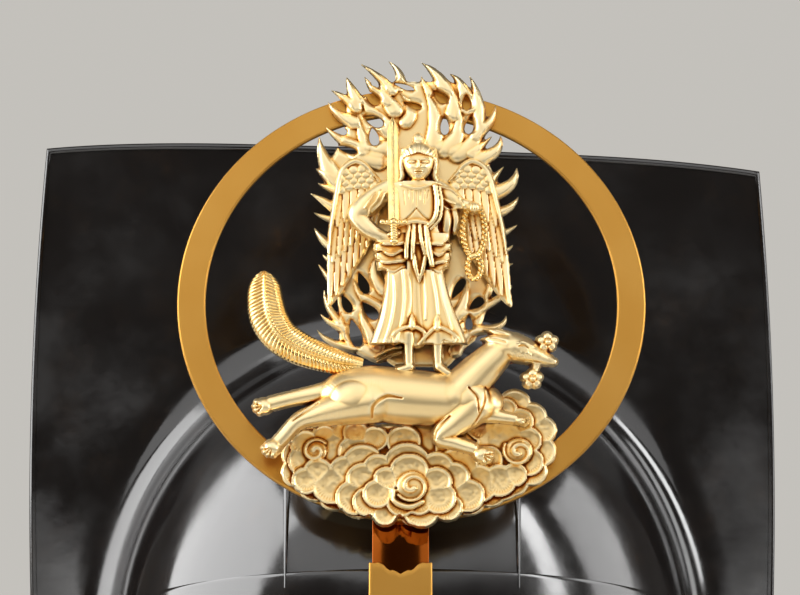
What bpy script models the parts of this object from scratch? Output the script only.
"""Square-hood kabuto with a moon-ring crest.

Metres, +Z up, the face towards -Y. The origin is the centre of the bowl's rim plane, where the head
goes in. Crest pieces are drawn flat, x to the right, y up and z towards the viewer, from the middle of
the moon ring, and stand up with the empty that they are parented to.
"""

import math

import bmesh
import bpy
from mathutils import Matrix, Vector

# Bowl and hood
BOWL_HALF_WIDTH = 0.110
BOWL_FRONT = 0.125
BOWL_BACK = 0.122
BOWL_HEIGHT = 0.117
SHELL_WALL = 0.003
HOOD_HALF_WIDTH = 0.1465
HOOD_TOP = 0.1975
HOOD_PLACE = 0.012
HOOD_FILLET = 0.021
HOOD_EAR_DROP = 0.025
FIT_GAP = 0.0003
FILLET_SHARE = 0.8
DOME_STEPS = 8
FILLET_STEPS = 4
HOOD_END = math.radians(-17)

# Visor
VISOR_SPAN = math.radians(62)
VISOR_RISE = 0.025
VISOR_REACH = 0.043
VISOR_DROP = 0.005
VISOR_WALL = 0.002
VISOR_RISE_LOSS = 0.30
VISOR_DROP_LOSS = 0.60
VISOR_END_REACH = 0.24
VISOR_ROUNDING = 1.4

# Neck guard
BAND_FIT = 0.0010
BAND_WALL = 0.0015
BAND_ABOVE = 0.010
BAND_BELOW = 0.016
LAME_COUNT = 4
LAME_WALL = 0.0015
LAME_HEIGHT = 0.026
LAME_OVERLAP = 0.008
LAME_FLARE = math.radians(16)
LAME_GAP = 0.0004
GUARD_HALF_TURN = math.radians(124)
TURN_BACK_RADIUS = 0.014
TURN_BACK_TURN = math.radians(150)
TURN_BACK_TOP = 0.008
GUARD_STEPS = 26
TURN_BACK_STEPS = 6
LOOK_BACK = 0.01

# Crest
CREST_LEAN = math.radians(16.6)
CREST_OFFSET = 0.0034
RING_OUTER = 0.085
RING_BAND = 0.0103
RING_WALL = 0.002
RING_CHAMFER = 0.0006
FIGURE_HEIGHT = 0.100
LAYER_GAP = 0.0003
RELIEF_DROOP = 0.38
FLAME_WALL = 0.004
WING_WALL = 0.003
FOX_DEPTH = 0.0155
FIGURE_DEPTH = 0.0115
ROPE_RADIUS = 0.0013
CLOUD_DEPTH = 0.0105

# Tang and holder
TANG_OFFSET = 0.0039
TANG_WIDTH = 0.020
TANG_WALL = 0.002
TANG_TOP = -0.060
TANG_ENTRY = 0.0185
HOLDER_WALL = 0.0009
HOLDER_MOUTH = -0.1042
HOLDER_RISE = 0.0229
HOLDER_LENGTH = 0.0223
HOLDER_STEP = 0.0044
HOLDER_PLACE = 0.302

# Heights in front of the ring's middle plane, back to front
RING_BACK = 0.0
FLAME_BACK = RING_BACK + RING_WALL + LAYER_GAP
FRONT_BACK = FLAME_BACK + FLAME_WALL + LAYER_GAP
OVER_WINGS = FRONT_BACK + WING_WALL + LAYER_GAP
TANG_FRONT = RING_BACK - LAYER_GAP

# The relief's tables hold hundredths of the figure's height, from the middle of the ring.
UNIT = FIGURE_HEIGHT / 100

# Hood outline: how much the side edges draw in at the top, and the top edge falls towards +X and at
# both corners
SIDE_DRAW_IN = 0.0375
SIDE_WIDEST = 0.355
TOP_SLOPE = 0.0233
TOP_CURL = 0.0233

# Visor rows, top to bottom: height as a share of the rise (or of the drop, below), reach as a share
VISOR_ROWS = (
    # height, reach
    (1.00, 0.00),
    (0.50, 0.00),
    (0.20, 0.19),
    (0.02, 0.47),
    (-1.00, 1.00),
)

# Holder's front edge: across as a share of its half width, up as a share of its step
SCALLOP = (
    # across, up
    (0.00, 0.00), (0.13, 0.22), (0.25, 0.36), (0.33, 0.30), (0.42, 0.44), (0.55, 0.80), (0.70, 0.98),
    (0.84, 0.92), (1.00, 1.00),
)

# Flame tongues: root, bend and tip, and the width at the root
TONGUES = (
    # root x, y, bend x, y, tip x, y, width
    (-7, 84, -12, 91, -18.6, 95.2, 4.0),
    (-20, 80, -22.5, 85, -24, 90, 5.0),
    (-9, 80, -14.5, 84, -17.3, 90, 4.5),
    (-20, 77, -25, 82, -29.6, 84.5, 4.0),
    (-21, 71, -28, 74, -30.8, 79.5, 5.0),
    (-18, 60, -27, 64, -31.6, 69.3, 5.0),
    (-28, 48, -33, 56, -34, 65.2, 7.0),
    (-27, 46, -32, 50, -35, 52.5, 4.0),
    (-26, 43, -31, 44.5, -34.3, 46.7, 3.0),
    (-26, 35, -31, 39, -36.8, 42.3, 4.5),
    (-26, 31, -32, 32.5, -35.6, 34.7, 3.0),
    (-26, 19, -33, 23.5, -35.4, 28.5, 4.5),
    (-26, 13, -31, 16, -32.3, 18, 2.5),
    (-26, 3, -31, 10, -33.8, 14, 3.0),
    (-26, -9, -31.6, -2, -31.6, 4, 3.0),
    (-22, -12, -29.5, -10, -32.8, -5.7, 3.5),
    (-21, -19, -31, -17, -34, -11.8, 3.5),
    (-4, 86, -3, 92, -8.3, 96.4, 4.0),
    (13, 84, 10, 92, 4, 95.8, 5.5),
    (7, 83, 4.5, 87, 3.8, 90.2, 2.5),
    (21, 77, 20, 88, 14.5, 91.2, 5.5),
    (25, 70, 26, 82, 21.7, 90.3, 5.0),
    (24, 66, 31, 72, 31.2, 78, 4.5),
    (22, 58, 27, 62.5, 29.7, 65.5, 3.0),
    (24, 56, 33.5, 58.5, 33, 65.8, 6.0),
    (28, 45, 31, 50, 34, 53.2, 3.0),
    (29, 42, 39, 45, 38.8, 52.7, 6.0),
    (29, 34, 37, 35.5, 39.2, 41, 4.5),
    (30, 25, 35.5, 27, 38.7, 29.8, 3.0),
    (30, 18, 35.5, 19.5, 37, 21.7, 2.5),
    (30, 12, 35, 13.3, 37, 14.5, 2.0),
    (26, -3, 35.8, 3, 36.4, 6, 3.0),
    (22, -12, 34, -12, 34.3, -6.3, 4.0),
)

# Flame plate behind the figure: its left and right edge at each height, bottom to top
FLAME_PLATE = (
    # height, left, right
    (-22, -17, 17),
    (-16, -26, 23),
    (-8, -26, 26),
    (2, -27, 29),
    (12, -28, 32),
    (30, -28, 32),
    (46, -29, 32),
    (56, -30, 28),
    (63, -26, 26),
    (70, -24, 27),
    (78, -24, 27),
    (84, -13, 24),
    (88, -6, 14),
)

# Neighbouring tongues stand back from the plate's front by one to four of these steps. A tongue's width
# falls with this power of the way along it, and a drop narrows to its point with the other one.
TONGUE_STEP = 0.0003
TONGUE_TAPER = 1.6
DROP_TAPER = 0.8

# Gaps pierced in the flames: middle, length, width, and the turn of the pointed end in degrees
PIERCINGS = (
    # x, y, length, width, turn
    (-14, 72, 8.0, 5.0, 150),
    (-13.8, 65.5, 7.5, 4.5, 100),
    (-26.0, 68.0, 5.0, 3.4, 150),
    (-23.8, 60.2, 8.0, 3.0, 160),
    (-13.9, 88, 3.5, 2.4, 100),
    (-14.5, 81.5, 7.5, 4.6, 130),
    (-2.6, 86, 8.0, 2.6, 160),
    (0.6, 78.3, 6.5, 3.0, 160),
    (10.8, 81.8, 6.5, 4.4, 135),
    (20.5, 79.3, 6.0, 3.8, 90),
    (12.4, 70, 7.5, 4.0, 90),
    (21.5, 70, 6.8, 4.0, 80),
    (-17.6, 6.7, 9.0, 4.6, 110),
    (-23.6, -1.5, 7.5, 4.2, 115),
    (-15, -4.2, 8.5, 5.0, 130),
    (-20.3, -13, 11.0, 5.4, 105),
    (17, 4.5, 9.0, 4.0, 240),
    (23.5, -1.5, 6.5, 4.5, 220),
    (20.8, -9, 5.5, 3.4, 90),
)

# Wing feathers: root, bend and tip out from the wings' axis, width, and share of the wing's wall; a
# feather's tip keeps the blunt share of its width
WING_AXIS = 2.2
FEATHER_BLUNT = 0.35
FEATHERS = (
    # root, y, bend, y, tip, y, width, share
    (26, 46, 30.5, 20, 32.6, -3.2, 4.6, 0.70),
    (24, 45, 27.4, 22, 29.3, 0.5, 4.4, 0.80),
    (22, 44, 24.8, 24, 26.6, 4.5, 4.4, 0.70),
    (20, 43, 22.4, 26, 24.0, 9, 4.4, 0.80),
    (18, 42, 20.0, 28, 21.4, 13, 4.4, 0.70),
    (16, 42, 17.6, 30, 18.8, 17.5, 4.4, 0.80),
)
WING_SHOULDER = (
    # out from the axis, y
    (12.4, 41), (12.6, 46.5), (15, 50.5), (18, 54), (21.5, 56), (25.2, 54), (27.8, 48.5),
    (29.3, 41), (29.6, 33), (26, 30.5), (21, 33), (16, 36.5),
)

# Limbs are bent tubes through these points: x, y, depth share, radius
TORSO = ((2.4, 51, 0.50, 4.0), (2.2, 45.5, 0.46, 6.4), (2.0, 37, 0.42, 8.6), (2.0, 28, 0.40, 7.2),
         (1.6, 20, 0.40, 8.6))
ROBE = ((1.6, 23, 0.36, 8.8), (1.8, 6, 0.34, 10.8), (2.4, -7, 0.34, 12.6), (2.8, -17.5, 0.34, 15.6))
RIGHT_ARM = ((-6, 44.6, 0.62, 4.6), (-15, 39, 0.66, 4.9), (-20, 32.6, 0.68, 4.3), (-14.5, 26.8, 0.76, 3.7),
             (-8, 24.2, 0.86, 2.9))
LEFT_ARM = ((10, 44.4, 0.60, 4.6), (15.0, 40, 0.64, 4.4), (20.5, 36.6, 0.68, 3.2))
LEGS = (
    ((-1, -8, 0.42, 4.0), (-1, -17, 0.42, 2.9), (-1, -26, 0.44, 2.3)),
    ((9.3, -8, 0.42, 4.0), (9.3, -17, 0.42, 2.9), (9.3, -26, 0.44, 2.3)),
)
FIGURE_BALLS = (
    # x, y, depth share, half width, half height, half depth
    (2.6, 54.6, 0.52, 6.2, 8.4, 5.6),
    (2.6, 60.0, 0.42, 6.8, 5.4, 5.0),
    (2.8, 64.8, 0.34, 3.2, 2.6, 3.0),
    (-6.0, 25.4, 0.90, 3.3, 3.0, 3.2),
    (22.5, 36.2, 0.70, 4.3, 3.0, 3.0),
    (-7.2, 15.6, 0.55, 6.4, 6.6, 3.6),
    (9.8, 15.2, 0.55, 5.4, 7.0, 3.6),
    (-3.2, -26.0, 0.52, 4.2, 1.9, 3.2),
    (11.6, -27.0, 0.52, 4.6, 1.9, 3.2),
)

SWORD_BLADE = ((-6.3, 29.4, 2.2), (-6.6, 50, 2.2), (-6.8, 67, 2.1), (-6.9, 72, 0.2))
SWORD_GRIP = ((-6.3, 29.4, 1.2), (-6.2, 22.6, 1.2))
SWORD_GUARD = (-6.3, 30.2, 4.6, 1.5)
SWORD_POMMEL = (-6.2, 21.8, 1.8, 1.6)
SWORD_FOOT_DEPTH = 0.96
SWORD_TIP_DEPTH = 0.17

# Rope loops: middle, half width and half height
ROPE_LOOPS = ((22.6, 27.0, 4.0, 10.4), (22.7, 12.6, 2.4, 4.6))

FOX_TORSO = ((-25, -38, 0.42, 5.5), (-17, -35.4, 0.45, 9.3), (-5, -37.4, 0.47, 10.6),
             (8, -38.6, 0.47, 10.4), (18, -38.4, 0.47, 9.6), (26, -39, 0.44, 7.0))
FOX_NECK = ((18, -37, 0.47, 8.4), (25, -28, 0.50, 6.8), (30, -21.5, 0.52, 5.8), (34, -17.6, 0.53, 5.0))
FOX_HEAD = ((30, -16.6, 0.52, 4.6), (37, -17, 0.55, 5.2), (44, -20.6, 0.55, 3.7), (51.6, -24.0, 0.52, 1.9))
FOX_EARS = (
    ((34, -13.6, 0.52, 2.6), (29.5, -12.2, 0.48, 1.9), (25, -12, 0.44, 0.5)),
    ((33, -17, 0.60, 2.4), (29, -16.2, 0.58, 1.7), (25.6, -16.2, 0.52, 0.5)),
)
FOX_LEGS = (
    ((-20, -35, 0.36, 6.0), (-31, -36.2, 0.30, 4.3), (-42, -38.2, 0.26, 3.4), (-50, -40.4, 0.26, 3.2)),
    ((-18, -39, 0.50, 8.6), (-30, -43, 0.56, 5.4), (-41, -46.4, 0.56, 3.5), (-48, -55.6, 0.54, 3.0)),
    ((22, -41, 0.56, 7.6), (14.5, -48.4, 0.62, 5.2), (9.8, -53.8, 0.64, 3.3), (16, -55.2, 0.62, 3.1),
     (22.5, -57.6, 0.58, 2.8)),
    ((22, -43, 0.42, 4.6), (30, -45.2, 0.38, 2.8), (36.5, -46.2, 0.38, 2.2)),
)
FOX_BALLS = (
    # x, y, depth share, half width, half height, half depth
    (-53.0, -41.2, 0.26, 3.8, 3.4, 2.8),
    (-49.6, -57.4, 0.54, 3.8, 3.2, 3.0),
    (24.8, -60.0, 0.58, 3.6, 3.0, 2.8),
    (38.8, -46.8, 0.38, 2.8, 2.0, 2.0),
    (48.6, -17.0, 0.58, 4.2, 3.6, 3.4),
    (42.2, -30.6, 0.50, 4.2, 4.0, 3.4),
)
FOX_MOUTH_BAR = ((48.0, -18, 0.56, 1.9), (45.4, -24, 0.54, 1.9), (42.6, -30, 0.52, 1.9))

TAIL = ((-17.5, -25.8, 2.8), (-25, -24.8, 4.6), (-33, -22.3, 5.6), (-41, -18.8, 6.4), (-47.5, -14, 6.8),
        (-51.3, -7.5, 7.0), (-52.4, 0, 6.4), (-52.2, 6.5, 4.6), (-51.8, 11, 0.8))
TAIL_FLATTEN = 0.42
TAIL_RISE = 2.8

# Cloud puffs: middle, radius, and height as a share of the cloud's depth
CLOUD_PUFFS = (
    # x, y, radius, height share
    (-40.5, -66.5, 6.0, 0.62), (-34, -71.5, 6.4, 0.72), (-27, -75, 6.4, 0.76), (-18.7, -77, 7.2, 0.82),
    (-9.5, -80.3, 6.0, 0.80), (1.5, -81, 6.2, 0.84), (12.5, -79.4, 6.0, 0.80), (20, -76.8, 6.4, 0.78),
    (27.5, -73.2, 6.8, 0.76), (35.5, -69.6, 6.4, 0.74), (42.4, -66, 6.0, 0.70), (45.4, -58.6, 6.4, 0.70),
    (46, -50.6, 6.0, 0.66), (42.6, -45.6, 6.0, 0.60), (37.0, -40.6, 6.0, 0.56),
    (-34.5, -58, 8.0, 0.76), (-41, -60.4, 5.6, 0.62), (-24, -63, 9.0, 0.82), (-12, -62, 9.6, 0.84),
    (0, -71, 9.6, 1.00), (-9, -72.5, 7.0, 0.94), (9.5, -73, 7.0, 0.94), (14, -63, 9.6, 0.86),
    (26, -62, 9.0, 0.82), (37.5, -57.5, 8.4, 0.80), (20, -53, 8.0, 0.66), (0, -57, 9.0, 0.80),
    (-22, -53, 8.0, 0.62), (34, -49, 8.0, 0.64),
)


def start_clean():
    """Remove every object of the open scene."""
    for thing in list(bpy.data.objects):
        bpy.data.objects.remove(thing, do_unlink=True)


def new_collection(name):
    """A collection linked to the scene."""
    group = bpy.data.collections.new(name)
    bpy.context.scene.collection.children.link(group)
    return group


start_clean()
PARTS = new_collection("kabuto")
GUIDES = new_collection("cutters")


def finish_of(name, colour, roughness, metallic):
    """A plain Principled material."""
    material = bpy.data.materials.new(name)
    material.use_nodes = True
    shader = material.node_tree.nodes["Principled BSDF"]
    shader.inputs["Base Color"].default_value = (*colour, 1)
    shader.inputs["Roughness"].default_value = roughness
    shader.inputs["Metallic"].default_value = metallic
    return material


BLACK_LACQUER = finish_of("black_lacquer", (0.008, 0.007, 0.007), 0.16, 0.0)
SATIN_GOLD = finish_of("satin_gold", (0.66, 0.36, 0.09), 0.38, 1.0)
GILT_RELIEF = finish_of("gilt_relief", (0.93, 0.68, 0.28), 0.28, 1.0)
POLISHED_GOLD = finish_of("polished_gold", (0.80, 0.48, 0.14), 0.12, 1.0)


def make_object(name, mesh, group=GUIDES):
    """An object for a mesh or curve. Guides and cutters are drawn as wire and don't render."""
    thing = bpy.data.objects.new(name, mesh)
    group.objects.link(thing)
    if group is GUIDES:
        thing.hide_render = True
        thing.display_type = "WIRE"
    return thing


def settled_mesh(thing):
    """The evaluated mesh of an object, its doubles merged."""
    bpy.context.view_layer.update()
    evaluated = thing.evaluated_get(bpy.context.evaluated_depsgraph_get())
    mesh = bpy.data.meshes.new_from_object(evaluated)
    work = bmesh.new()
    work.from_mesh(mesh)
    bmesh.ops.remove_doubles(work, verts=work.verts, dist=2e-6)
    bmesh.ops.dissolve_degenerate(work, edges=work.edges, dist=2e-6)
    work.to_mesh(mesh)
    work.free()
    return mesh


def settle(thing):
    """Replace an object by a mesh object of its evaluated form, under the same name."""
    mesh = settled_mesh(thing)
    name = thing.name
    matrix = thing.matrix_world.copy()
    group = thing.users_collection[0]
    bpy.data.objects.remove(thing, do_unlink=True)
    settled = make_object(name, mesh, group)
    settled.matrix_world = matrix
    return settled


def combined(thing, others, operation):
    """Unite a mesh object with others, or cut them out of it, and settle the result."""
    for other in others:
        modifier = thing.modifiers.new(operation.lower(), "BOOLEAN")
        modifier.operation = operation
        modifier.solver = "EXACT"
        modifier.object = other
        thing = settle(thing)
        bpy.data.objects.remove(other, do_unlink=True)
    return thing


def united(name, shapes):
    """One body made of shapes that overlap."""
    whole = combined(shapes[0], shapes[1:], "UNION")
    whole.name = name
    return whole


def finished(thing, name, material, parent=None, smooth=math.radians(40)):
    """Move an object to the kabuto's collection with its name, material and shading."""
    thing.name = name
    thing.data.name = name
    GUIDES.objects.unlink(thing)
    PARTS.objects.link(thing)
    thing.hide_render = False
    thing.display_type = "TEXTURED"
    thing.data.materials.clear()
    thing.data.materials.append(material)
    thing.data.shade_smooth()
    thing.data.set_sharp_from_angle(angle=smooth)
    thing.parent = parent
    return thing


def box(name, low, high):
    """A box between two corners."""
    work = bmesh.new()
    bmesh.ops.create_cube(work, size=1.0)
    middle = (Vector(low) + Vector(high)) / 2
    size = Vector(high) - Vector(low)
    for vert in work.verts:
        vert.co = middle + Vector(a * b for a, b in zip(vert.co, size))
    mesh = bpy.data.meshes.new(name)
    work.to_mesh(mesh)
    work.free()
    return make_object(name, mesh)


def ball(name, middle, half_sizes, sides=8, rings=6):
    """A round ball with three half sizes."""
    work = bmesh.new()
    bmesh.ops.create_uvsphere(work, u_segments=sides, v_segments=rings, radius=1.0)
    for vert in work.verts:
        vert.co = Vector(middle) + Vector(a * b for a, b in zip(vert.co, half_sizes))
    mesh = bpy.data.meshes.new(name)
    work.to_mesh(mesh)
    work.free()
    return make_object(name, mesh)


def slab(name, outline, back, front):
    """A flat outline in the crest's plane, filled and given a thickness."""
    curve = bpy.data.curves.new(name, "CURVE")
    curve.dimensions = "2D"
    curve.fill_mode = "BOTH"
    curve.extrude = (front - back) / 2
    spline = curve.splines.new("POLY")
    spline.points.add(len(outline) - 1)
    for point, (x, y) in zip(spline.points, outline):
        point.co = (x, y, 0, 1)
    spline.use_cyclic_u = True
    thing = settle(make_object(name, curve))
    thing.data.transform(Matrix.Translation((0, 0, (front + back) / 2)))
    return thing


def tube(name, points, radii, sides=8, flatten=1.0, closed=False):
    """A tube through points, with a radius at each, pressed flat towards the crest's plane."""
    curve = bpy.data.curves.new(name, "CURVE")
    curve.dimensions = "3D"
    curve.bevel_depth = 1.0
    curve.bevel_resolution = (sides - 4) // 2
    curve.use_fill_caps = True
    spline = curve.splines.new("POLY")
    spline.points.add(len(points) - 1)
    middle = sum(point[2] for point in points) / len(points)
    for target, (x, y, z), radius in zip(spline.points, points, radii):
        target.co = (x, y, middle + (z - middle) / flatten, 1)
        target.radius = radius
    spline.use_cyclic_u = closed
    thing = settle(make_object(name, curve))
    squeeze = Matrix.Translation((0, 0, middle)) @ Matrix.Diagonal((1, 1, flatten, 1))
    thing.data.transform(squeeze @ Matrix.Translation((0, 0, -middle)))
    return thing


def rounded_path(rows, steps):
    """Points on a smooth curve through the rows, steps to each span (Catmull and Rom's spline)."""
    path = []
    for place in range(len(rows) - 1):
        before = rows[max(place - 1, 0)]
        start, end = rows[place], rows[place + 1]
        after = rows[min(place + 2, len(rows) - 1)]
        for step in range(steps):
            t = step / steps
            path.append(tuple(
                0.5 * (2 * b + (c - a) * t + (2 * a - 5 * b + 4 * c - d) * t ** 2
                       + (3 * b - a - 3 * c + d) * t ** 3)
                for a, b, c, d in zip(before, start, end, after)))
    path.append(tuple(rows[-1]))
    return path


def sheet(name, place, columns, rows):
    """A grid whose corner (i, j) lies at place(i, j)."""
    work = bmesh.new()
    bmesh.ops.create_grid(work, x_segments=columns, y_segments=rows, size=0.5)
    for vert in work.verts:
        column = round((vert.co.x + 0.5) * columns)
        row = round((vert.co.y + 0.5) * rows)
        vert.co = place(column, row)
    mesh = bpy.data.meshes.new(name)
    work.to_mesh(mesh)
    work.free()
    return make_object(name, mesh)


def thickened(thing, wall):
    """Give an open sheet a wall on the side that its faces look to."""
    modifier = thing.modifiers.new("wall", "SOLIDIFY")
    modifier.thickness = wall
    modifier.offset = 1.0
    modifier.use_even_offset = True
    return settle(thing)


# Hood and bowl


def hood_half_width(z):
    """Half width of the hood plate at a height: widest a third up, drawn in above and below."""
    widest = SIDE_WIDEST * HOOD_TOP
    return HOOD_HALF_WIDTH * (1 - SIDE_DRAW_IN * ((z - widest) / (HOOD_TOP - widest)) ** 2)


def hood_top(side):
    """Height of the hood's top edge, side running from -1 at its -X end to 1 at its +X end."""
    return HOOD_TOP * (1 - TOP_SLOPE * side - TOP_CURL * side ** 4)


def hood_reach(turn):
    """Distance from the origin to the hood's outline in a direction of the XZ plane."""
    across, up = math.cos(turn), math.sin(turn)
    reach = HOOD_TOP
    for _ in range(12):
        wide = hood_half_width(reach * up)
        to_side = wide / max(abs(across), 1e-6)
        to_top = hood_top(max(-1, min(1, reach * across / wide))) / up if up > 0.05 else math.inf
        reach = min(to_side, to_top)
    return reach


def bowl_reach(turn):
    """Distance from the origin to the bowl's widest outline; below the rim it runs straight down."""
    across, up = math.cos(turn), math.sin(turn)
    if up < 0:
        return BOWL_HALF_WIDTH / abs(across)
    return 1 / math.hypot(across / BOWL_HALF_WIDTH, up / BOWL_HEIGHT)


def hood_section(turn, front):
    """Section of the outer face in one direction, from the bowl's end to the plate's edge.

    A quarter ellipse for the bowl, an arc of the fillet's radius tangent to it and to the plate, and
    the plate's flat. Pairs of distance from the y axis and y.
    """
    depth = BOWL_FRONT if front else BOWL_BACK
    plate = HOOD_PLACE if front else HOOD_PLACE + SHELL_WALL
    sign = -1 if front else 1
    outline, bowl = hood_reach(turn), bowl_reach(turn)
    fillet = min(HOOD_FILLET, FILLET_SHARE * (outline - bowl))
    foot = plate + sign * fillet
    stop = math.acos(max(0.0, sign * foot) / depth)
    section = []
    for step in range(DOME_STEPS + 1):
        part = stop * step / DOME_STEPS
        section.append((bowl * math.sin(part), sign * depth * math.cos(part)))
    narrow = bowl * math.sin(stop)
    for step in range(1, FILLET_STEPS + 1):
        part = math.pi / 2 * step / FILLET_STEPS
        section.append((narrow + fillet * (1 - math.cos(part)), foot - sign * fillet * math.sin(part)))
    section.append((outline, plate))
    return section


def make_hood_bowl():
    """Outer faces in front and behind, closed at the ends, less the head's space and what hangs low."""
    right_corner = math.atan2(hood_top(1), hood_half_width(hood_top(1)))
    left_corner = math.pi - math.atan2(hood_top(-1), hood_half_width(hood_top(-1)))
    marks = ((HOOD_END, right_corner, 9), (right_corner, left_corner, 14),
             (left_corner, math.pi - HOOD_END, 9))
    turns = [start + (end - start) * step / count for start, end, count in marks for step in range(count)]
    turns.append(marks[-1][1])
    sections = [hood_section(turn, True) + hood_section(turn, False)[::-1] for turn in turns]

    def place(column, row):
        reach, y = sections[column][row]
        return reach * math.cos(turns[column]), y, reach * math.sin(turns[column])

    rows = len(sections[0]) - 1
    hood = sheet("hood", place, len(turns) - 1, rows)
    work = bmesh.new()
    work.from_mesh(hood.data)
    bmesh.ops.remove_doubles(work, verts=work.verts, dist=1e-6)
    work.verts.ensure_lookup_table()
    for column in (0, len(turns) - 1):
        ends = [Vector(place(column, row)) for row in range(rows + 1)]
        loop = [min(work.verts, key=lambda vert, end=end: (vert.co - end).length) for end in ends]
        work.faces.new(loop)
    bmesh.ops.recalc_face_normals(work, faces=work.faces)
    work.to_mesh(hood.data)
    work.free()

    ear = BOWL_HALF_WIDTH + HOOD_FILLET / 2
    far = 2 * HOOD_TOP
    cutters = [
        make_object("head_space", head_space_mesh()),
        box("below_rim", (-ear, -far, -far), (ear, far, 0)),
        box("below_ears", (-far, -far, -far), (far, far, -HOOD_EAR_DROP)),
    ]
    hood = combined(hood, cutters, "DIFFERENCE")
    return finished(hood, "hood_bowl", BLACK_LACQUER)


def head_space_mesh():
    """The bowl's inside: half an ellipsoid in front and half behind, run straight down below the rim."""
    work = bmesh.new()
    bmesh.ops.create_uvsphere(work, u_segments=48, v_segments=16, radius=1.0)
    bmesh.ops.bisect_plane(work, geom=work.verts[:] + work.edges[:] + work.faces[:],
                           plane_co=(0, 0, 0), plane_no=(0, 0, 1), clear_inner=True)
    for vert in work.verts:
        depth = (BOWL_FRONT if vert.co.y < 0 else BOWL_BACK) - SHELL_WALL
        vert.co.x *= BOWL_HALF_WIDTH - SHELL_WALL
        vert.co.y *= depth
        vert.co.z *= BOWL_HEIGHT - SHELL_WALL
    rim = [edge for edge in work.edges if edge.is_boundary]
    skirt = bmesh.ops.extrude_edge_only(work, edges=rim)["geom"]
    lower = [item for item in skirt if isinstance(item, bmesh.types.BMVert)]
    bmesh.ops.translate(work, verts=lower, vec=(0, 0, -2 * HOOD_EAR_DROP))
    bmesh.ops.holes_fill(work, edges=[edge for edge in work.edges if edge.is_boundary])
    bmesh.ops.recalc_face_normals(work, faces=work.faces)
    mesh = bpy.data.meshes.new("head_space")
    work.to_mesh(mesh)
    work.free()
    return mesh


# Visor


def visor_point(side, row, lift=0.0):
    """A point of the visor's inner face: side from -1 to 1 round the brow, row down from the top."""
    height, reach = VISOR_ROWS[row]
    turn = side * VISOR_SPAN
    rise = VISOR_RISE * (1 - VISOR_RISE_LOSS * side ** 2)
    z = height * (rise if height > 0 else VISOR_DROP * (1 - VISOR_DROP_LOSS * side ** 2))
    narrow = math.sqrt(1 - min(1, max(0, z) / BOWL_HEIGHT) ** 2)
    foot = Vector((BOWL_HALF_WIDTH * narrow * math.sin(turn), -BOWL_FRONT * narrow * math.cos(turn), z))
    out = Vector((math.sin(turn) / BOWL_HALF_WIDTH, -math.cos(turn) / BOWL_FRONT, 0)).normalized()
    rounded = max(0, math.cos(math.pi / 2 * side)) ** VISOR_ROUNDING
    shrink = VISOR_END_REACH + (1 - VISOR_END_REACH) * rounded
    return foot + out * (FIT_GAP * 1.5 + lift + reach * VISOR_REACH * shrink)


def visor_sheet(name, columns=16):
    """The visor's inner face."""
    last = len(VISOR_ROWS) - 1
    return sheet(name, lambda i, j: visor_point(2 * i / columns - 1, last - j), columns, last)


def make_visor():
    """Brow plate and peak in one sheet of even thickness."""
    return finished(thickened(visor_sheet("visor"), VISOR_WALL), "visor", BLACK_LACQUER)


# Neck guard


def guard_point(turn, inset, z):
    """A point of a band round the head: turn 0 at the back, inset from the bowl's inner wall."""
    wide = BOWL_HALF_WIDTH - SHELL_WALL
    long = (BOWL_FRONT if math.cos(turn) < 0 else BOWL_BACK) - SHELL_WALL
    narrow = math.sqrt(1 - (max(0, z) / (BOWL_HEIGHT - SHELL_WALL)) ** 2)
    x, y = narrow * wide * math.sin(turn), narrow * long * math.cos(turn)
    out = Vector((math.sin(turn) / wide, math.cos(turn) / long, 0)).normalized()
    return Vector((x, y, z)) - out * inset


def make_neck_band():
    """The band inside the rim."""
    def place(column, row):
        turn = GUARD_HALF_TURN * (2 * column / GUARD_STEPS - 1)
        return guard_point(turn, BAND_FIT + BAND_WALL, BAND_ABOVE if row else -BAND_BELOW)

    return finished(thickened(sheet("band", place, GUARD_STEPS, 1), -BAND_WALL), "neck_band", BLACK_LACQUER)


def lame_point(number, turn, down):
    """A point of a lame's inner face, down from 0 at its top edge to 1 at its bottom edge."""
    top = -FIT_GAP - LAME_WALL * math.sin(LAME_FLARE) - (number - 1) * (LAME_HEIGHT - LAME_OVERLAP)
    z = top - down * LAME_HEIGHT * math.cos(LAME_FLARE)
    spread = -z * math.tan(LAME_FLARE) + (number - 1) * (LAME_WALL + LAME_GAP)
    return guard_point(turn, FIT_GAP - LAME_GAP - spread, z)


def make_lame(number):
    """One lame: a flared band round the back, the first with its front ends curled out and back."""
    curl = TURN_BACK_STEPS if number == 1 else 0

    def place(column, row):
        step = column - curl
        turn = GUARD_HALF_TURN * max(-1, min(1, 2 * step / GUARD_STEPS - 1))
        past = max(0, -step, step - GUARD_STEPS)
        down = 0 if row else 1
        if past and row:
            down = TURN_BACK_TOP / LAME_HEIGHT
        end = lame_point(number, turn, down)
        if not past:
            return end
        along = (end - lame_point(number, turn * (1 - LOOK_BACK), down)).normalized()
        out = Vector((along.y, -along.x, 0)) * math.copysign(1, -turn)
        part = TURN_BACK_TURN * past / TURN_BACK_STEPS
        return end + TURN_BACK_RADIUS * (along * math.sin(part) + out * (1 - math.cos(part)))

    band = sheet("lame", place, GUARD_STEPS + 2 * curl, 1)
    return finished(thickened(band, -LAME_WALL), f"neck_lame_{number}", BLACK_LACQUER)


# Crest


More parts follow.
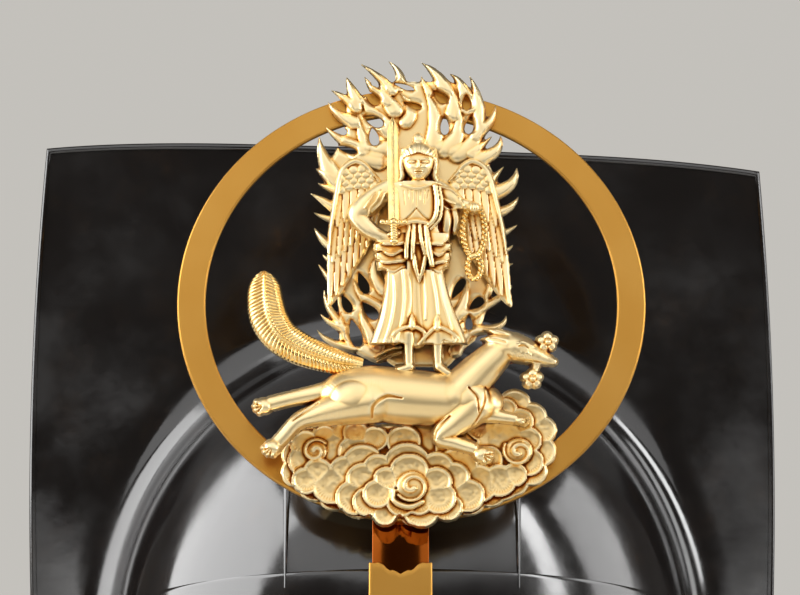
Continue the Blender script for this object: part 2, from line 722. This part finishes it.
def crest_empty():
    """The empty that stands the crest up, at the middle of the moon ring's back."""
    empty = bpy.data.objects.new("crest_frame", None)
    PARTS.objects.link(empty)
    mouth_y = -BOWL_FRONT - VISOR_REACH * HOLDER_PLACE
    up = Vector((0, math.sin(CREST_LEAN), math.cos(CREST_LEAN)))
    empty.location = Vector((CREST_OFFSET, mouth_y, HOLDER_RISE)) - up * HOLDER_MOUTH
    empty.rotation_euler = (math.pi / 2 - CREST_LEAN, 0, 0)
    bpy.context.view_layer.update()
    return empty


def make_ring(parent):
    """A flat ring with its front edges chamfered, turned round its middle."""
    inner = RING_OUTER - RING_BAND
    profile = ((inner, RING_BACK), (inner, RING_BACK + RING_WALL - RING_CHAMFER),
               (inner + RING_CHAMFER, RING_BACK + RING_WALL), (RING_OUTER - RING_CHAMFER, RING_BACK + RING_WALL),
               (RING_OUTER, RING_BACK + RING_WALL - RING_CHAMFER), (RING_OUTER, RING_BACK))
    mesh = bpy.data.meshes.new("ring")
    count = len(profile)
    mesh.from_pydata([(x, 0, z) for x, z in profile], [(i, (i + 1) % count) for i in range(count)], [])
    ring = make_object("ring", mesh)
    screw = ring.modifiers.new("turn", "SCREW")
    screw.steps = screw.render_steps = 52
    screw.use_merge_vertices = True
    screw.merge_threshold = 1e-6
    screw.use_normal_calculate = True
    ring = settle(ring)
    outwards(ring.data)
    return finished(ring, "moon_ring", SATIN_GOLD, parent)


def outwards(mesh):
    """Point the faces of a closed mesh outwards."""
    work = bmesh.new()
    work.from_mesh(mesh)
    bmesh.ops.recalc_face_normals(work, faces=work.faces)
    work.to_mesh(mesh)
    work.free()


def make_tang(parent):
    """The flat strip behind the ring, from behind the cloud down into the holder."""
    half = TANG_WIDTH / 2
    low = HOLDER_MOUTH - TANG_ENTRY
    tang = box("tang", (-TANG_OFFSET - half, low, TANG_FRONT - TANG_WALL),
               (-TANG_OFFSET + half, TANG_TOP, TANG_FRONT))
    return finished(tang, "crest_tang", POLISHED_GOLD, parent)


def make_holder(frame):
    """A flat socket for the tang, its front edge scalloped, cut to stand on the visor."""
    half = TANG_WIDTH / 2 + FIT_GAP + HOLDER_WALL
    back = TANG_FRONT - TANG_WALL - FIT_GAP - HOLDER_WALL
    front = TANG_FRONT + FIT_GAP + HOLDER_WALL
    low = HOLDER_MOUTH - HOLDER_LENGTH - 2 * HOLDER_STEP
    right = [(half * x, HOLDER_MOUTH + HOLDER_STEP * y) for x, y in SCALLOP]
    left = [(-x, y) for x, y in right[:0:-1]]
    outline = [(x - TANG_OFFSET, y) for x, y in left + right + [(half, low), (-half, low)]]
    holder = slab("holder", outline, back, front)
    inner = half - HOLDER_WALL
    floor = HOLDER_MOUTH - TANG_ENTRY - FIT_GAP
    slot = box("slot", (-TANG_OFFSET - inner, floor, back + HOLDER_WALL),
               (-TANG_OFFSET + inner, 0, front - HOLDER_WALL))
    holder = combined(holder, [slot], "DIFFERENCE")
    holder.data.transform(frame.matrix_world)
    holder = combined(holder, [visor_cover()], "DIFFERENCE")
    return finished(holder, "crest_holder", SATIN_GOLD)


def visor_cover():
    """A solid from just above the visor down past it, which trims the holder's foot."""
    columns = 16
    last = len(VISOR_ROWS) - 1
    above = VISOR_WALL + 2.5 * FIT_GAP

    def place(column, row):
        side = 2 * column / columns - 1
        if row <= last:
            return visor_point(side, last - row) + Vector((0, 0, above))
        return visor_point(side, row - last - 1) + Vector((0, 0, -BOWL_HEIGHT))

    cover = sheet("visor_cover", place, columns, 2 * last + 1)
    work = bmesh.new()
    work.from_mesh(cover.data)
    first = [Vector(place(i, 0)) for i in range(columns + 1)]
    final = [Vector(place(i, 2 * last + 1)) for i in range(columns + 1)]
    work.verts.ensure_lookup_table()
    lower = [min(work.verts, key=lambda vert, end=end: (vert.co - end).length) for end in first]
    upper = [min(work.verts, key=lambda vert, end=end: (vert.co - end).length) for end in final]
    for i in range(columns):
        work.faces.new((lower[i], lower[i + 1], upper[i + 1], upper[i]))
    bmesh.ops.holes_fill(work, edges=[edge for edge in work.edges if edge.is_boundary])
    bmesh.ops.recalc_face_normals(work, faces=work.faces)
    work.to_mesh(cover.data)
    work.free()
    return cover


def tongue_outline(root, bend, tip, width, steps=3, blunt=0.0):
    """Outline of a bent tongue: a curve from root by bend to tip, its width falling to the tip."""
    root, bend, tip = Vector(root), Vector(bend), Vector(tip)
    left, right = [], []
    for step in range(steps + 1):
        t = step / steps
        middle = (1 - t) ** 2 * root + 2 * t * (1 - t) * bend + t ** 2 * tip
        along = ((1 - t) * (bend - root) + t * (tip - bend)).normalized()
        half = width / 2 * (blunt + (1 - blunt) * (1 - t ** TONGUE_TAPER)) * (1 if step < steps else 0)
        across = Vector((-along.y, along.x)) * half
        if step == steps:
            left.append(middle)
        else:
            left.append(middle + across)
            right.append(middle - across)
    return [(point.x * UNIT, point.y * UNIT) for point in right + left[::-1]]


def drop_outline(x, y, length, width, turn, steps=8):
    """Outline of a teardrop, its point towards the turn."""
    outline = []
    for step in range(steps):
        angle = 2 * math.pi * step / steps
        along = math.cos(angle) * length / 2
        across = math.sin(angle) * math.sin(angle / 2) ** DROP_TAPER * width / 2
        c, s = math.cos(math.radians(turn)), math.sin(math.radians(turn))
        outline.append(((x + along * c - across * s) * UNIT, (y + along * s + across * c) * UNIT))
    return outline


def make_flames(parent):
    """The flame plate with its tongues, pierced by drops."""
    front = FLAME_BACK + FLAME_WALL
    right = [(row[2] * UNIT, row[0] * UNIT) for row in FLAME_PLATE]
    left = [(row[1] * UNIT, row[0] * UNIT) for row in reversed(FLAME_PLATE)]
    shapes = [slab("plate", right + left, FLAME_BACK, front)]
    for place, (rx, ry, bx, by, tx, ty, width) in enumerate(TONGUES):
        inset = TONGUE_STEP * (1 + place % 4)
        outline = tongue_outline((rx, ry), (bx, by), (tx, ty), width)
        shapes.append(slab("tongue", outline, FLAME_BACK + inset / 4, front - inset))
    flames = united("flames", shapes)
    gaps = [slab("gap", drop_outline(*row), FLAME_BACK - FLAME_WALL, front + FLAME_WALL) for row in PIERCINGS]
    flames = combined(flames, gaps, "DIFFERENCE")
    return finished(drooped(flames), "flame_aureole", GILT_RELIEF, parent)


def wing_shape(side, grow=0.0):
    """One wing: a fan of feathers and a thicker shoulder. Grown, it is the space that it needs."""
    def across(out):
        return WING_AXIS + side * out

    back = FRONT_BACK - 4 * grow
    spare = grow / UNIT
    shapes = [slab("shoulder", [(across(x) * UNIT, y * UNIT) for x, y in WING_SHOULDER],
                   back, FRONT_BACK + WING_WALL + grow)]
    for rx, ry, bx, by, tx, ty, width, share in FEATHERS:
        outline = tongue_outline((across(rx), ry), (across(bx), by), (across(tx), ty), width + 2 * spare,
                                 blunt=FEATHER_BLUNT)
        shapes.append(slab("feather", outline, back, FRONT_BACK + share * WING_WALL + grow))
    return united("wing", shapes)


def limb(rows, back, depth, flatten=0.8, steps=2, sides=8, grow=0.0):
    """A bent tube from a table of x, y, depth share and radius."""
    path = rounded_path(rows, steps)
    points = [(x * UNIT, y * UNIT, back + z * depth) for x, y, z, _ in path]
    radii = [radius * UNIT + grow for *_, radius in path]
    return tube("limb", points, radii, sides, flatten)


def drooped(thing):
    """Lean a casting: each point hangs lower, the further it stands out from the ring's front."""
    front = RING_BACK + RING_WALL
    thing.data.transform(Matrix(((1, 0, 0, 0), (0, 1, -RELIEF_DROOP, RELIEF_DROOP * front),
                                 (0, 0, 1, 0), (0, 0, 0, 1))))
    return thing


def ball_on(row, back, depth, grow=0.0, sides=7):
    """A ball from a table row of x, y, depth share and half sizes."""
    x, y, z, wide, high, deep = row
    sizes = (wide * UNIT + grow, high * UNIT + grow, deep * UNIT + grow)
    return ball("ball", (x * UNIT, y * UNIT, back + z * depth), sizes, sides, rings=5)


def sword_depth(y):
    """Height of the sword's middle over the ring, falling from the fist to the tip."""
    foot, tip = SWORD_BLADE[0][1], SWORD_BLADE[-1][1]
    share = SWORD_FOOT_DEPTH + (SWORD_TIP_DEPTH - SWORD_FOOT_DEPTH) * (y - foot) / (tip - foot)
    return FRONT_BACK + share * FIGURE_DEPTH


def sword_shape(grow=0.0):
    """Blade with a ridge, guard, grip and pommel in one."""
    def run(rows, sides, flatten):
        points = [(x * UNIT, y * UNIT, sword_depth(y)) for x, y, _ in rows]
        return tube("run", points, [radius * UNIT + grow for *_, radius in rows], sides, flatten)

    gx, gy, wide, high = SWORD_GUARD
    px, py, round_wide, round_high = SWORD_POMMEL
    guard = ball("guard", (gx * UNIT, gy * UNIT, sword_depth(gy)),
                 (wide * UNIT + grow, high * UNIT + grow, high * UNIT + grow), 8)
    pommel = ball("pommel", (px * UNIT, py * UNIT, sword_depth(py)),
                  (round_wide * UNIT + grow, round_high * UNIT + grow, round_high * UNIT + grow), 8)
    return united("sword", [run(SWORD_BLADE, 4, 0.55), run(SWORD_GRIP, 6, 1.0), guard, pommel])


def rope_shape(grow=0.0):
    """Two linked loops of rope, in front of the wing."""
    level = OVER_WINGS + ROPE_RADIUS
    loops = []
    for place, (x, y, wide, high) in enumerate(ROPE_LOOPS):
        count = 18 if place == 0 else 12
        turns = [2 * math.pi * step / count for step in range(count)]
        points = [((x + wide * math.cos(turn)) * UNIT, (y + high * math.sin(turn)) * UNIT, level)
                  for turn in turns]
        loops.append(tube("loop", points, [ROPE_RADIUS + grow] * count, 6, closed=True))
    return united("rope", loops)


def behind(level, name="behind"):
    """A block of everything behind a level."""
    far = 3 * RING_OUTER
    return box(name, (-far, -far, level - far), (far, far, level))


def fox_shape(grow=0.0):
    """The running fox without its tail, flat behind."""
    shapes = [limb(FOX_TORSO, FRONT_BACK, FOX_DEPTH, 0.78, grow=grow),
              limb(FOX_NECK, FRONT_BACK, FOX_DEPTH, grow=grow),
              limb(FOX_HEAD, FRONT_BACK, FOX_DEPTH, grow=grow),
              limb(FOX_MOUTH_BAR, FRONT_BACK, FOX_DEPTH, steps=1, sides=6, grow=grow)]
    shapes += [limb(rows, FRONT_BACK, FOX_DEPTH, steps=1, sides=6, grow=grow) for rows in FOX_EARS]
    shapes += [limb(rows, FRONT_BACK, FOX_DEPTH, steps=1, sides=6, grow=grow) for rows in FOX_LEGS]
    shapes += [ball_on(row, FRONT_BACK, FOX_DEPTH, grow) for row in FOX_BALLS]
    fox = united("fox", shapes)
    return combined(fox, [behind(FRONT_BACK - 2 * grow)], "DIFFERENCE")


def tail_shape(grow=0.0):
    """The fox's tail: a flattened tube that curls up."""
    level = FRONT_BACK + TAIL_RISE * UNIT
    path = rounded_path([(x, y, 0, radius) for x, y, radius in TAIL], 2)
    points = [(x * UNIT, y * UNIT, level) for x, y, *_ in path]
    radii = [radius * UNIT + grow for *_, radius in path]
    tail = tube("tail", points, radii, 8, TAIL_FLATTEN)
    return combined(tail, [behind(FRONT_BACK - 2 * grow)], "DIFFERENCE")


def figure_shape():
    """The robed figure, flat behind, with room for the wings, sword, rope and fox."""
    low = FRONT_BACK
    shapes = [limb(TORSO, low, FIGURE_DEPTH, 0.62), limb(ROBE, low, FIGURE_DEPTH, 0.5, sides=10),
              limb(RIGHT_ARM, low, FIGURE_DEPTH, 0.72, 1), limb(LEFT_ARM, low, FIGURE_DEPTH, 0.72, 1)]
    shapes += [limb(rows, low, FIGURE_DEPTH, 0.9, steps=1, sides=6) for rows in LEGS]
    shapes += [ball_on(row, low, FIGURE_DEPTH) for row in FIGURE_BALLS]
    figure = united("figure", shapes)
    room = [behind(low), wing_shape(-1, LAYER_GAP), wing_shape(1, LAYER_GAP), sword_shape(LAYER_GAP),
            rope_shape(LAYER_GAP), fox_shape(LAYER_GAP)]
    return combined(figure, room, "DIFFERENCE")


def cloud_shape():
    """Overlapping puffs, flat behind, with room for the fox."""
    puffs = [ball("puff", (x * UNIT, y * UNIT, FLAME_BACK),
                  (radius * UNIT, radius * UNIT, share * CLOUD_DEPTH), 9, rings=4)
             for x, y, radius, share in CLOUD_PUFFS]
    cloud = united("cloud", puffs)
    return combined(cloud, [behind(FLAME_BACK), fox_shape(LAYER_GAP)], "DIFFERENCE")


make_hood_bowl()
make_visor()
make_neck_band()
for number in range(1, LAME_COUNT + 1):
    make_lame(number)
crest = crest_empty()
make_holder(crest)
make_ring(crest)
make_tang(crest)
make_flames(crest)
finished(drooped(wing_shape(-1)), "left_wing", GILT_RELIEF, crest)
finished(drooped(wing_shape(1)), "right_wing", GILT_RELIEF, crest)
finished(drooped(figure_shape()), "guardian_figure", GILT_RELIEF, crest)
finished(drooped(sword_shape()), "sword", GILT_RELIEF, crest)
finished(drooped(rope_shape()), "rope_loop", GILT_RELIEF, crest)
fox = combined(fox_shape(), [tail_shape(LAYER_GAP)], "DIFFERENCE")
finished(drooped(fox), "fox", GILT_RELIEF, crest)
finished(drooped(tail_shape()), "fox_tail", GILT_RELIEF, crest)
finished(drooped(cloud_shape()), "cloud_base", GILT_RELIEF, crest)
